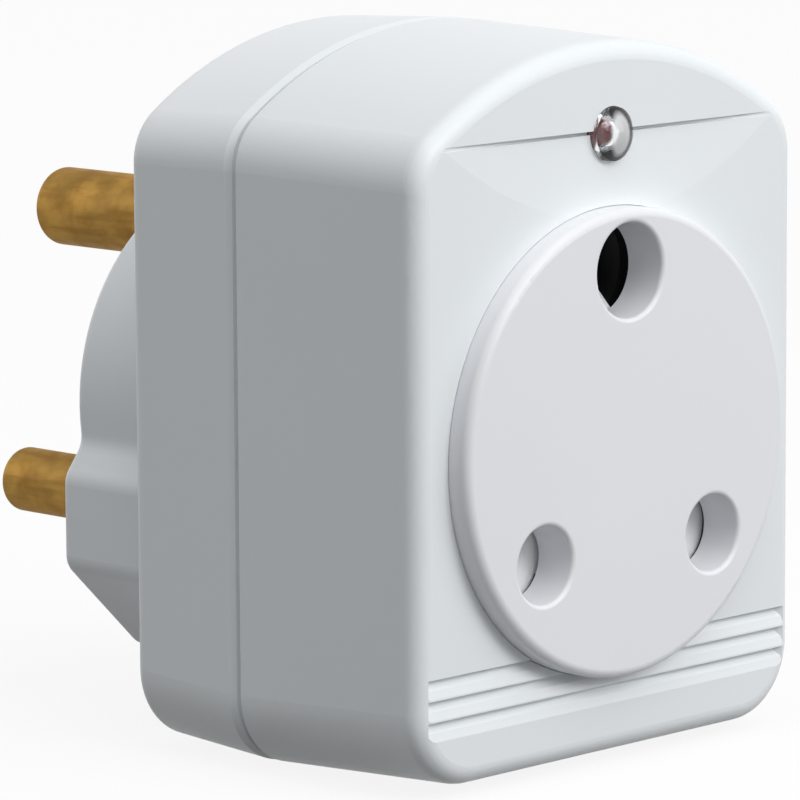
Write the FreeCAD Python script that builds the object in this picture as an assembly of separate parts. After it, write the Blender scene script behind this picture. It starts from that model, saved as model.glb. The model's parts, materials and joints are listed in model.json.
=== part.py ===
"""Plug-in surge protector. Millimetres, +Z up, room side towards -Y.

The origin is on the plug face, on the axis of the circle that the three pins lie on.
Sizes grow outwards from the pin pattern: pins, holes, disc, case.
"""
import FreeCAD
import Part
import math
import os

os.makedirs("parts", exist_ok=True)
V = FreeCAD.Vector
ALONG_X = V(1, 0, 0)
ALONG_Y = V(0, 1, 0)
ALONG_Z = V(0, 0, 1)

# Clearances between pieces
FIT_GAP = 0.08
LOOSE_GAP = 0.25
SCREW_GAP = 0.06
LIP_GAP = 0.2
DISC_GAP = 0.06
GRIP_GAP = 0.02
SLEEVE_ROOM = 0.6

# 16 A pin pattern and pins
PIN_LN_SPACING = 25.4
PIN_E_TO_LN = 28.6
LINE_PIN_R = 3.525
EARTH_PIN_R = 4.35
LINE_PIN_LEN = 20.2
EARTH_PIN_LEN = 27.2
PIN_TIP_R = 0.9
PIN_SHOULDER = 0.3
COLLAR_T = 1.6
COLLAR_RIM = 1.7
PIN_TAIL_LEN = 3.4
STUB_R = 1.6
STUB_HEAD_R = 2.3
STUB_HEAD_T = 0.7
LN_X = PIN_LN_SPACING / 2
EARTH_Z = (LN_X ** 2 + PIN_E_TO_LN ** 2) / (2 * PIN_E_TO_LN)
LN_Z = EARTH_Z - PIN_E_TO_LN

# Socket disc
LINE_HOLE_R = LINE_PIN_R + 0.525
EARTH_HOLE_R = EARTH_PIN_R + 0.55
DISC_LAND = 1.48
DISC_DROP = 0.6
DISC_R = EARTH_Z + EARTH_HOLE_R + DISC_LAND + DISC_DROP
DISC_EDGE_R = 0.95
HOLE_RIM_R = 0.45
FACE_PROUD = 2.6
FLANGE_OVER = 1.6
FLANGE_W = 3.1
FLANGE_T = 2.0
FLANGE_R = DISC_R + FLANGE_OVER
FLANGE_INNER_R = FLANGE_R - FLANGE_W
FLANGE_END_Z = LN_Z + 5.48
TAB_X = 3.3
TAB_W = 3.9

# Case outline, grown from the disc
CASE_SIDE = 5.05
LEDGE_RISE = 7.2
CROWN_RISE = 9.9
CHIN_DROP = 10.1
HALF_W = DISC_R + CASE_SIDE
LEDGE_Z = DISC_R + LEDGE_RISE
TOP_Z = LEDGE_Z + CROWN_RISE
BOTTOM_Z = -DISC_R - CHIN_DROP
ARCH_R = 46.0
SHOULDER_R = 6.5
BOTTOM_R = 8.0
BOSS_DEPTH = 14.9
REAR_DEPTH = 15.35
FRONT_DEPTH = 25.5
FRONT_DRAFT = 1.0
REAR_DRAFT = 0.6
SIDE_DRAFT_SHARE = 0.6
CHIN_DRAFT_SHARE = 1.2
WALL = 2.2
FRONT_EDGE_R = 2.0
REAR_EDGE_R = 1.4
PARTING_GROOVE = 0.85
PARTING_GROOVE_DEPTH = 0.8
PARTING_BEVEL = 0.3
PARTING_BEVEL_W = 0.9
LIP_T = 0.9
LIP_LEN = 1.6

# Plug boss, grown from the pins
PIN_LAND = 1.53
BOSS_WALL = 2.2
BOSS_FACE_T = 3.0
BOSS_EDGE_R = 0.9
BOSS_CORNER_R = 2.6
BOSS_R = EARTH_Z + EARTH_PIN_R + PIN_LAND
BOSS_SIDE = LN_X + 12.5
BOSS_CORNER_X = LN_X + 2.3
BOSS_DOME_Z = LN_Z + 7.48
BOSS_SIDE_TOP = LN_Z + 4.08
BOSS_SIDE_BOTTOM = LN_Z - 5.5
BOSS_CHIN = 15.52
BOSS_BOTTOM_Z = LN_Z - BOSS_CHIN

# Ledge above the disc, and ribs below it
LEDGE_HALF_W = HALF_W - 4.2
LEDGE_DEPTH = 0.5
LEDGE_H = 9.0
LEDGE_LINE_DEPTH = 0.95
LEDGE_LINE_H = 0.42
RIB_TOP_Z = BOTTOM_Z + 12.7
RIB_PITCH = 2.17
RIB_COUNT = 3
RIB_DEPTH = 0.8
RIB_STEP = 0.5
RIB_HALF_W = HALF_W - 2.0
RIB_RUN_OUT = 1.1

# Indicator
LENS_X = 0.0
LENS_Z = LEDGE_Z - 0.45
LENS_R = 2.75
LENS_PROUD = 1.4
LENS_DOME_R = 4.2
LENS_FLANGE_R = 3.6
LENS_FLANGE_T = 1.2
LED_R = 1.5
LED_LEN = 5.2
LED_RIM = 0.35
LED_DEPTH = 0.5
LED_PITCH = 2.54
CLIP_T = 1.0
CLIP_HALF_H = 1.6
CLIP_PEG_X = 6.0
CLIP_PEG_R = 0.6
WIRE_R = 0.7
WIRE_CORE_R = 0.3

# Case screws
CASE_SCREW_X = HALF_W - 6.55
CASE_SCREW_DROP = 16.7
CASE_SCREW_RISE = 7.5
CASE_SCREW_TOP_Z = TOP_Z - CASE_SCREW_DROP
CASE_SCREW_BOTTOM_Z = BOTTOM_Z + CASE_SCREW_RISE
CASE_SCREW_LEN = 24.0
CASE_SCREW_SINK = 4.6
CASE_HEAD_R = 2.8
CASE_HEAD_T = 2.0
CASE_SHANK_R = 1.4
FRONT_PILLAR_R = 3.2
REAR_PILLAR_R = 3.9

# Small screws
SMALL_HEAD_R = 2.1
SMALL_HEAD_T = 1.4
SMALL_SHANK_R = 1.1
SMALL_CLEAR_R = SMALL_SHANK_R + 0.15
SMALL_PILLAR_R = 2.3
SCREW_TIP_LEN = 1.2
SCREW_CROSS_W = 0.7

# Shutter
SHUTTER_T = 1.2
SHUTTER_ROOM = 0.55
SHUTTER_COVER_R = LINE_HOLE_R + 0.4
SHUTTER_TRAVEL = SHUTTER_COVER_R + LINE_HOLE_R + 0.8
WEDGE_HALF_W = 2.8
WEDGE_TIP = 0.7
WEDGE_BODY = 5.5
STEM_HALF_W = 2.9
BAR_HALF_H = 2.0
RAIL_W = 2.4
SPRING_SPACE = 14.12
SPRING_R = 1.45
SPRING_WIRE_R = 0.25
SPRING_TURNS = 7
SPIGOT_R = 0.9
SPIGOT_LEN = 1.5

# Contacts and carrier
SLEEVE_T = 0.8
SLIT_W = 0.8
TUBE_T = 1.5
LINE_SLEEVE_R = LINE_PIN_R + GRIP_GAP
EARTH_SLEEVE_R = EARTH_PIN_R + GRIP_GAP
LINE_TUBE_R = LINE_SLEEVE_R + SLEEVE_T + SLEEVE_ROOM + TUBE_T
EARTH_TUBE_R = EARTH_SLEEVE_R + SLEEVE_T + SLEEVE_ROOM + TUBE_T
LINE_TUBE_DEPTH = 20.4
EARTH_GRIP_START = 16.4
EARTH_GRIP_END = 27.0
CARRIER_OVER = 1.3
CARRIER_T = 2.0
CARRIER_SCREW_ANGLE = 59.0
CARRIER_EAR_R = 2.6
FOOT_SCREW_X = 15.5
FOOT_SCREW_RISE = 6.4
STRAP_T = 0.8
STRAP_W = 5.0
EARTH_STRAP_W = 5.6
RIVET_R = 1.3
RIVET_HEAD_R = 2.1
RIVET_HEAD_T = 0.7
EARTH_RIVET_R = 1.0
EARTH_RIVET_HEAD_R = 1.7
FOOT_PAD_T = 0.75
FOOT_PAD_HALF_W = 1.9

# Plate that clamps the pins
PIN_PLATE_T = 2.0
PIN_PLATE_GAP = 1.2
PIN_PAD_R = 5.6
PLATE_SCREW_X = 9.5
PLATE_SCREW_Z = 4.5

# Circuit board and its parts
BOARD_T = 1.6
BOARD_BEHIND = 6.2
BOARD_GAP = 1.15
BOARD_PILLAR_R = 2.2
BOARD_SCREW_X = 10.0
SLOT_GAP = 0.25
SOLDER_REACH = 1.1
SOLDER_H = 1.3
VARISTOR_R = 7.0
VARISTOR_T = 4.4
VARISTOR_EDGE_R = 1.2
VARISTOR_LEAD_X = 3.2
VARISTOR_LEAD_R = 0.5
BOARD_HALF_W = HALF_W - WALL - BOARD_GAP
BOARD_TOP_Z = TOP_Z - 7.6
BOARD_BOTTOM_Z = BOTTOM_Z + 2.8
BOARD_NECK_HALF_W = CASE_SCREW_X - REAR_PILLAR_R - 1.1
BOARD_SHOULDER_Z = CASE_SCREW_TOP_Z - REAR_PILLAR_R - 1.2
BOARD_HIP_Z = CASE_SCREW_BOTTOM_Z + REAR_PILLAR_R + 1.2
SIDE_VARISTOR_X = BOARD_HALF_W - VARISTOR_R - 1.8
SIDE_VARISTOR_Z = 7.5
LOW_VARISTOR_Z = LN_Z - 5.52
FUSE_Z = 2.0
GAS_TUBE_X = -11.0
GAS_TUBE_Z = 24.5
RESISTOR_X = 11.5
RESISTOR_Z = 25.0
DIODE_X = 14.5
DIODE_Z = LN_Z - 6.02
CAPACITOR_X = -15.5
CAPACITOR_Z = LN_Z - 6.62
CAPACITOR_SIZE = (10.0, 8.5, 5.0)

# Planes along Y
HEAD_Y = -BOSS_FACE_T
COLLAR_Y = HEAD_Y - COLLAR_T
PIN_PLATE_Y = COLLAR_Y - PIN_PLATE_T
PIN_END_Y = COLLAR_Y - PIN_TAIL_LEN
BACK_Y = -BOSS_DEPTH
PARTING_Y = BACK_Y - REAR_DEPTH
FRONT_Y = PARTING_Y - FRONT_DEPTH
DISC_Y = FRONT_Y - FACE_PROUD
WALL_Y = FRONT_Y + WALL
CARRIER_Y = WALL_Y + FLANGE_T
PLATE_Y = CARRIER_Y + CARRIER_T
BOARD_Y = BACK_Y - BOARD_BEHIND
BOARD_FRONT_Y = BOARD_Y - BOARD_T
CASE_HEAD_Y = BACK_Y - CASE_SCREW_SINK
CASE_TIP_Y = CASE_HEAD_Y - CASE_SCREW_LEN
LINE_SLEEVE_Y0 = CARRIER_Y + 0.6
BASE_Y = DISC_Y + LINE_TUBE_DEPTH
STRAP_Y = BASE_Y + SLEEVE_T
EARTH_SLEEVE_Y0 = DISC_Y + EARTH_GRIP_START
EARTH_SLEEVE_Y1 = DISC_Y + EARTH_GRIP_END
EARTH_TUBE_END_Y = EARTH_SLEEVE_Y1 + 1.8
EARTH_RIVET_Y = EARTH_SLEEVE_Y1 - 4.0
SHUTTER_Y = WALL_Y + SHUTTER_ROOM
SPRING_Y = WALL_Y + LOOSE_GAP + SPRING_R + 0.1
LENS_BACK_Y = WALL_Y + LENS_FLANGE_T
LED_TIP_Y = FRONT_Y + LED_DEPTH
LED_END_Y = LED_TIP_Y + LED_LEN

# Places in the front view
LINE_AXIS = (-LN_X, LN_Z)
NEUTRAL_AXIS = (LN_X, LN_Z)
EARTH_AXIS = (0.0, EARTH_Z)
RAMP_Z = EARTH_Z - EARTH_PIN_R - 0.2
SPRING_TOP_Z = LN_Z - BAR_HALF_H
SPRING_BOTTOM_Z = SPRING_TOP_Z - SPRING_SPACE
TAB_TOP_Z = SPRING_TOP_Z - SHUTTER_TRAVEL - 0.3
STRAP_RISE = LINE_TUBE_R + 0.2
EARTH_STRAP_TOP_Z = EARTH_Z - EARTH_SLEEVE_R - SLEEVE_T
CARRIER_SCREW_X = (FLANGE_R + 2.65) * math.cos(math.radians(CARRIER_SCREW_ANGLE))
CARRIER_SCREW_Z = (FLANGE_R + 2.65) * math.sin(math.radians(CARRIER_SCREW_ANGLE))
FOOT_SCREW_Z = BOTTOM_Z + FOOT_SCREW_RISE
FAR = 4 * HALF_W


def pair(x, z):
    return [(-x, z), (x, z)]


CASE_SCREWS = pair(CASE_SCREW_X, CASE_SCREW_TOP_Z) + pair(CASE_SCREW_X, CASE_SCREW_BOTTOM_Z)
CARRIER_SCREWS = pair(CARRIER_SCREW_X, CARRIER_SCREW_Z) + pair(FOOT_SCREW_X, FOOT_SCREW_Z)
BOARD_SCREWS = pair(BOARD_SCREW_X, BOARD_TOP_Z - 2.6) + pair(BOARD_SCREW_X, BOARD_BOTTOM_Z + 1.9)
PLATE_SCREWS = pair(PLATE_SCREW_X, PLATE_SCREW_Z)


def cyl(r, y0, y1, x=0.0, z=0.0):
    return Part.makeCylinder(r, abs(y1 - y0), V(x, min(y0, y1), z), ALONG_Y)


def upright(r, z0, z1, x, y):
    return Part.makeCylinder(r, z1 - z0, V(x, y, z0), ALONG_Z)


def box(x0, x1, y0, y1, z0, z1):
    return Part.makeBox(x1 - x0, y1 - y0, z1 - z0, V(x0, y0, z0))


def side_box(side, x_near, x_far, y0, y1, z0, z1):
    """Box at x_near to x_far from the middle plane, on the side given by +1 or -1."""
    x0, x1 = sorted((side * x_near, side * x_far))
    return box(x0, x1, y0, y1, z0, z1)


def tube(r_out, r_in, y0, y1, x=0.0, z=0.0):
    return cyl(r_out, y0, y1, x, z).cut(cyl(r_in, y0, y1, x, z))


def fuse(shapes):
    shapes = list(shapes)
    return shapes[0].multiFuse(shapes[1:]).removeSplitter()


def cut_all(shape, cutters):
    for cutter in cutters:
        shape = shape.cut(cutter)
    return shape


def arc(a, b, c):
    return Part.Arc(a, b, c).toShape()


def edges_at(shape, y, longest=FAR):
    """Edges that lie in the plane at depth y and are no wider than a given width."""
    found = []
    for e in shape.Edges:
        b = e.BoundBox
        if abs(b.YMin - y) < 0.01 and abs(b.YMax - y) < 0.01 and b.XLength < longest:
            found.append(e)
    return found


def case_wire(y, half_w, top, bottom, arch_r, shoulder_r, bottom_r):
    """Front-view outline of the case at depth y: an arched crown over straight sides."""
    arch_c = top - arch_r
    sx = half_w - shoulder_r
    sz = arch_c + math.sqrt((arch_r - shoulder_r) ** 2 - sx ** 2)
    ang = math.atan2(sz - arch_c, sx)
    ax = arch_r * math.cos(ang)
    az = arch_c + arch_r * math.sin(ang)
    mx = sx + shoulder_r * math.cos(ang / 2)
    mz = sz + shoulder_r * math.sin(ang / 2)
    bx = half_w - bottom_r
    bz = bottom + bottom_r
    k = bottom_r * math.sqrt(0.5)

    def p(x, z):
        return V(x, y, z)

    return Part.Wire([
        Part.makeLine(p(-bx, bottom), p(bx, bottom)),
        arc(p(bx, bottom), p(bx + k, bz - k), p(half_w, bz)),
        Part.makeLine(p(half_w, bz), p(half_w, sz)),
        arc(p(half_w, sz), p(mx, mz), p(ax, az)),
        arc(p(ax, az), p(0, top), p(-ax, az)),
        arc(p(-ax, az), p(-mx, mz), p(-half_w, sz)),
        Part.makeLine(p(-half_w, sz), p(-half_w, bz)),
        arc(p(-half_w, bz), p(-bx - k, bz - k), p(-bx, bottom)),
    ])


def case_section(y, inset, draft=0.0):
    return case_wire(
        y,
        HALF_W - inset - draft * SIDE_DRAFT_SHARE,
        TOP_Z - inset - draft,
        BOTTOM_Z + inset + draft * CHIN_DRAFT_SHARE,
        ARCH_R - inset,
        SHOULDER_R - inset,
        BOTTOM_R - inset,
    )


def case_loft(y0, y1, inset, draft1):
    return Part.makeLoft([case_section(y0, inset), case_section(y1, inset, draft1)], True, True)


def case_ring(y0, y1, inset_out, inset_in):
    """Band that follows the case outline from y0 to y1."""
    depth = V(0, y1 - y0, 0)
    outer = Part.Face(case_section(y0, inset_out)).extrude(depth)
    inner = Part.Face(case_section(y0, inset_in)).extrude(depth)
    return outer.cut(inner)


def boss_wire(y, inset):
    """Outline of the plug boss: a dome over wide shoulders."""
    r = BOSS_R - inset
    side = BOSS_SIDE - inset
    low = BOSS_BOTTOM_Z + inset
    corner = BOSS_CORNER_X - inset * 0.4
    z1 = BOSS_SIDE_TOP - inset * 0.3
    z2 = BOSS_SIDE_BOTTOM + inset * 0.4
    dx = math.sqrt(r ** 2 - BOSS_DOME_Z ** 2)

    def p(x, z):
        return V(x, y, z)

    return Part.Wire([
        Part.makeLine(p(-corner, low), p(corner, low)),
        Part.makeLine(p(corner, low), p(side, z2)),
        Part.makeLine(p(side, z2), p(side, z1)),
        Part.makeLine(p(side, z1), p(dx, BOSS_DOME_Z)),
        arc(p(dx, BOSS_DOME_Z), p(0, r), p(-dx, BOSS_DOME_Z)),
        Part.makeLine(p(-dx, BOSS_DOME_Z), p(-side, z1)),
        Part.makeLine(p(-side, z1), p(-side, z2)),
        Part.makeLine(p(-side, z2), p(-corner, low)),
    ])


def boss_solid(y0, y1, inset):
    solid = Part.Face(boss_wire(y0, inset)).extrude(V(0, y1 - y0, 0))
    corners = []
    for e in solid.Edges:
        b = e.BoundBox
        if b.XLength < 0.01 and b.ZLength < 0.01:
            corners.append(e)
    return solid.makeFillet(BOSS_CORNER_R - inset * 0.5, corners)


def screw(x, z, head_y, length, head_r, head_t, shank_r):
    """Pan-head screw driven towards -Y, with the underside of its head on head_y."""
    top = head_y + head_t
    reach = head_r * 0.62
    half = SCREW_CROSS_W / 2
    depth = head_t * 0.55
    head = cyl(head_r, head_y, top, x, z)
    head = head.makeFillet(head_t * 0.35, edges_at(head, top))
    cross = fuse([
        box(x - reach, x + reach, top - depth, top + 1, z - half, z + half),
        box(x - half, x + half, top - depth, top + 1, z - reach, z + reach),
    ])
    tip_y = head_y - length + SCREW_TIP_LEN
    tip = Part.makeCone(shank_r, shank_r * 0.45, SCREW_TIP_LEN, V(x, tip_y, z), V(0, -1, 0))
    return fuse([head.cut(cross), cyl(shank_r, tip_y, head_y, x, z), tip])


def small_screw(x, z, head_y, length):
    return screw(x, z, head_y, length, SMALL_HEAD_R, SMALL_HEAD_T, SMALL_SHANK_R)


def small_screws_rearward(points, head_y, length):
    """Small screws with the underside of the head on head_y, driven towards +Y."""
    screws = []
    for x, z in points:
        turned = small_screw(x, z, 0, length)
        turned.rotate(V(x, 0, z), ALONG_Z, 180)
        turned.translate(V(0, head_y, 0))
        screws.append(turned)
    return Part.makeCompound(screws)


def bowed_block(depth, low, high):
    """Space in front of a face that is deepest in the middle and comes out at both ends."""
    radius = LEDGE_HALF_W ** 2 / (2 * depth)
    bow = Part.makeCylinder(radius, high - low, V(0, FRONT_Y + depth - radius, low), ALONG_Z)
    return bow.common(box(-FAR, FAR, FRONT_Y - 2, FRONT_Y + 2, low, high))


def ledge_cutter():
    """Step under the ledge line: a narrow line, and below it a face that comes slowly forward."""
    slope = bowed_block(LEDGE_DEPTH, LEDGE_Z - 2 * LEDGE_H, LEDGE_Z + LEDGE_H)
    tilt = math.degrees(math.atan2(LEDGE_DEPTH, LEDGE_H))
    slope.rotate(V(0, FRONT_Y + LEDGE_DEPTH, LEDGE_Z), ALONG_X, -tilt)
    slope = slope.common(box(-FAR, FAR, FRONT_Y - 2, FRONT_Y + 2, LEDGE_Z - 2 * LEDGE_H, LEDGE_Z))
    return slope.fuse(bowed_block(LEDGE_LINE_DEPTH, LEDGE_Z - LEDGE_LINE_H, LEDGE_Z))


def rib_cutter(z):
    """One step below the disc: a sharp upper edge that runs out downwards."""
    low = z - RIB_PITCH * 0.92
    profile = Part.makePolygon([
        V(-FAR, FRONT_Y - 1, z),
        V(-FAR, FRONT_Y + RIB_DEPTH, z),
        V(-FAR, FRONT_Y + RIB_DEPTH * 0.8, z - RIB_STEP),
        V(-FAR, FRONT_Y + RIB_DEPTH * 0.28, z - RIB_PITCH * 0.5),
        V(-FAR, FRONT_Y, low),
        V(-FAR, FRONT_Y - 1, low),
        V(-FAR, FRONT_Y - 1, z),
    ])
    return Part.Face(profile).extrude(V(2 * FAR, 0, 0))


def rib_limit():
    """Space that the steps may take: it comes out of the face at both ends."""
    deep = FRONT_Y + RIB_DEPTH + 0.1
    out = FRONT_Y - 0.02
    near = RIB_HALF_W - RIB_RUN_OUT
    profile = Part.makePolygon([
        V(-RIB_HALF_W, FRONT_Y - 2, -FAR),
        V(-RIB_HALF_W, out, -FAR),
        V(-near, deep, -FAR),
        V(near, deep, -FAR),
        V(RIB_HALF_W, out, -FAR),
        V(RIB_HALF_W, FRONT_Y - 2, -FAR),
        V(-RIB_HALF_W, FRONT_Y - 2, -FAR),
    ])
    return Part.Face(profile).extrude(V(0, 0, FAR))


def clip_pegs():
    pegs = []
    for s in (-1, 1):
        x = LENS_X + s * CLIP_PEG_X
        pegs.append(cyl(CLIP_PEG_R + 0.7, WALL_Y - 0.1, LENS_BACK_Y, x, LENS_Z))
        pegs.append(cyl(CLIP_PEG_R, WALL_Y, LENS_BACK_Y + CLIP_T + 0.4, x, LENS_Z))
    return pegs


def build_front_shell():
    outer = case_loft(PARTING_Y, FRONT_Y, 0, FRONT_DRAFT)
    outer = outer.makeFillet(FRONT_EDGE_R, edges_at(outer, FRONT_Y))
    shell = outer.cut(case_loft(PARTING_Y + 0.1, WALL_Y, WALL, FRONT_DRAFT))
    cuts = [ledge_cutter()]
    for i in range(RIB_COUNT):
        cuts.append(rib_cutter(RIB_TOP_Z - i * RIB_PITCH).common(rib_limit()))
    cuts.append(cyl(DISC_R + DISC_GAP, FRONT_Y - 1, WALL_Y + 1, 0, -DISC_DROP))
    cuts.append(cyl(LENS_R + FIT_GAP, FRONT_Y - 3, WALL_Y + 1, LENS_X, LENS_Z))
    cuts.append(case_ring(PARTING_Y - PARTING_GROOVE, PARTING_Y, -1.0, PARTING_GROOVE_DEPTH))
    shell = cut_all(shell, cuts)

    pillars = []
    holes = []
    for x, z in CASE_SCREWS:
        pillars.append(cyl(FRONT_PILLAR_R, WALL_Y - 0.1, PARTING_Y, x, z))
        holes.append(cyl(CASE_SHANK_R + SCREW_GAP, CASE_TIP_Y - 1.0, PARTING_Y + 0.1, x, z))
    for x, z in CARRIER_SCREWS:
        pillars.append(cyl(SMALL_PILLAR_R, WALL_Y - 0.1, CARRIER_Y, x, z))
        holes.append(cyl(SMALL_SHANK_R + SCREW_GAP, FRONT_Y + 1.3, CARRIER_Y + 0.1, x, z))
    return cut_all(fuse([shell] + pillars + clip_pegs()), holes)


def build_rear_shell():
    outer = case_loft(PARTING_Y + PARTING_BEVEL_W, BACK_Y, 0, REAR_DRAFT)
    outer = outer.makeFillet(REAR_EDGE_R, edges_at(outer, BACK_Y))
    bevel = Part.makeLoft([
        case_section(PARTING_Y, PARTING_BEVEL),
        case_section(PARTING_Y + PARTING_BEVEL_W, 0),
    ], True, True)
    boss = boss_solid(BACK_Y - 1.0, 0.0, 0)
    boss = boss.makeFillet(BOSS_EDGE_R, edges_at(boss, 0.0))
    body = outer.fuse(bevel).fuse(boss)
    body = body.cut(case_loft(PARTING_Y - 0.1, BACK_Y - WALL, WALL, REAR_DRAFT))
    body = body.cut(boss_solid(BACK_Y - WALL - 0.5, HEAD_Y, BOSS_WALL))

    # lip that reaches into the front shell, on a root inside the wall
    lip_in = WALL + LIP_GAP + LIP_T
    lip = case_ring(PARTING_Y - LIP_LEN, PARTING_Y + 2 * PARTING_BEVEL, WALL + LIP_GAP, lip_in)
    root = case_ring(PARTING_Y + PARTING_BEVEL, PARTING_Y + PARTING_BEVEL + LIP_LEN, WALL - 0.2, lip_in)
    for x, z in CASE_SCREWS:
        lip = lip.cut(cyl(FRONT_PILLAR_R + LIP_GAP, PARTING_Y - LIP_LEN - 1, PARTING_Y, x, z))
    body = fuse([body, lip, root])

    pillars = []
    holes = []
    for x, z in CASE_SCREWS:
        pillars.append(cyl(REAR_PILLAR_R, PARTING_Y, BACK_Y - 0.5, x, z))
        holes.append(cyl(CASE_SHANK_R + LOOSE_GAP, PARTING_Y - 0.1, BACK_Y, x, z))
        holes.append(cyl(CASE_HEAD_R + LOOSE_GAP, CASE_HEAD_Y, BACK_Y + 0.1, x, z))
    for x, z in BOARD_SCREWS:
        pillars.append(cyl(BOARD_PILLAR_R, BOARD_Y, BACK_Y - 0.5, x, z))
        holes.append(cyl(SMALL_SHANK_R + SCREW_GAP, BOARD_Y - 0.1, BOARD_Y + 4.5, x, z))
    for x, z in PLATE_SCREWS:
        pillars.append(cyl(BOARD_PILLAR_R + 0.4, COLLAR_Y, HEAD_Y + 0.1, x, z))
        holes.append(cyl(SMALL_SHANK_R + SCREW_GAP, COLLAR_Y - 0.1, HEAD_Y + 1.8, x, z))
    for r, (x, z) in pin_spots():
        holes.append(cyl(r + PIN_SHOULDER + FIT_GAP, HEAD_Y - 0.1, 0.1, x, z))
    return cut_all(fuse([body] + pillars), holes)


def pin_spots():
    return [(EARTH_PIN_R, EARTH_AXIS), (LINE_PIN_R, LINE_AXIS), (LINE_PIN_R, NEUTRAL_AXIS)]


def build_socket_face():
    plate = cyl(DISC_R, DISC_Y, WALL_Y, 0, -DISC_DROP)
    plate = plate.makeFillet(DISC_EDGE_R, edges_at(plate, DISC_Y))
    ring = tube(FLANGE_R, FLANGE_INNER_R, WALL_Y, CARRIER_Y)
    ring = ring.cut(box(-FAR, FAR, WALL_Y - 1, CARRIER_Y + 1, -FAR, FLANGE_END_Z))
    tabs = []
    for s in (-1, 1):
        tab = side_box(s, TAB_X, TAB_X + TAB_W, WALL_Y, CARRIER_Y, -FLANGE_R, TAB_TOP_Z)
        tabs.append(tab.common(cyl(FLANGE_R, WALL_Y, CARRIER_Y)))
    body = fuse([plate, ring] + tabs)
    spots = [(EARTH_HOLE_R, EARTH_AXIS), (LINE_HOLE_R, LINE_AXIS), (LINE_HOLE_R, NEUTRAL_AXIS)]
    body = cut_all(body, [cyl(r, DISC_Y - 1, CARRIER_Y + 1, x, z) for r, (x, z) in spots])
    return body.makeFillet(HOLE_RIM_R, edges_at(body, DISC_Y, 3 * EARTH_HOLE_R))


def build_shutter():
    """Two covers on a bar, with a ramp behind the earth hole that a pin pushes down."""
    y0 = SHUTTER_Y
    y1 = y0 + SHUTTER_T
    crest_y = y0 + SHUTTER_TRAVEL
    crest_z = RAMP_Z + SHUTTER_TRAVEL
    root_z = RAMP_Z - WEDGE_BODY
    profile = Part.makePolygon([
        V(-WEDGE_HALF_W, y0, RAMP_Z),
        V(-WEDGE_HALF_W, crest_y, crest_z),
        V(-WEDGE_HALF_W, crest_y + WEDGE_TIP, crest_z),
        V(-WEDGE_HALF_W, crest_y + WEDGE_TIP, crest_z - WEDGE_BODY + 0.5),
        V(-WEDGE_HALF_W, y1, root_z),
        V(-WEDGE_HALF_W, y0, root_z),
        V(-WEDGE_HALF_W, y0, RAMP_Z),
    ])
    wedge = Part.Face(profile).extrude(V(2 * WEDGE_HALF_W, 0, 0))
    low = SPRING_TOP_Z
    pieces = [
        wedge,
        box(-STEM_HALF_W, STEM_HALF_W, y0, y1, low, RAMP_Z - 3.0),
        box(-LN_X, LN_X, y0, y1, low, LN_Z + BAR_HALF_H),
        box(-SPRING_R - 0.15, SPRING_R + 0.15, y0, SPRING_Y + SPRING_R + 0.4, low, low + 1.0),
        upright(SPIGOT_R, low - SPIGOT_LEN, low + 0.1, 0, SPRING_Y),
    ]
    for x, z in (LINE_AXIS, NEUTRAL_AXIS):
        pieces.append(cyl(SHUTTER_COVER_R, y0, y1, x, z))
    return fuse(pieces)


def build_shutter_spring():
    height = SPRING_TOP_Z - SPRING_BOTTOM_Z - 2 * SPRING_WIRE_R
    pitch = height / SPRING_TURNS
    helix = Part.makeHelix(pitch, height, SPRING_R)
    start = V(0, 1, pitch / (2 * math.pi * SPRING_R))
    ring = Part.Circle(V(SPRING_R, 0, 0), start, SPRING_WIRE_R).toShape()
    coil = Part.Wire(helix).makePipeShell([Part.Wire([ring])], True, True)
    coil.translate(V(0, SPRING_Y, SPRING_BOTTOM_Z + SPRING_WIRE_R))
    return coil


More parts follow.
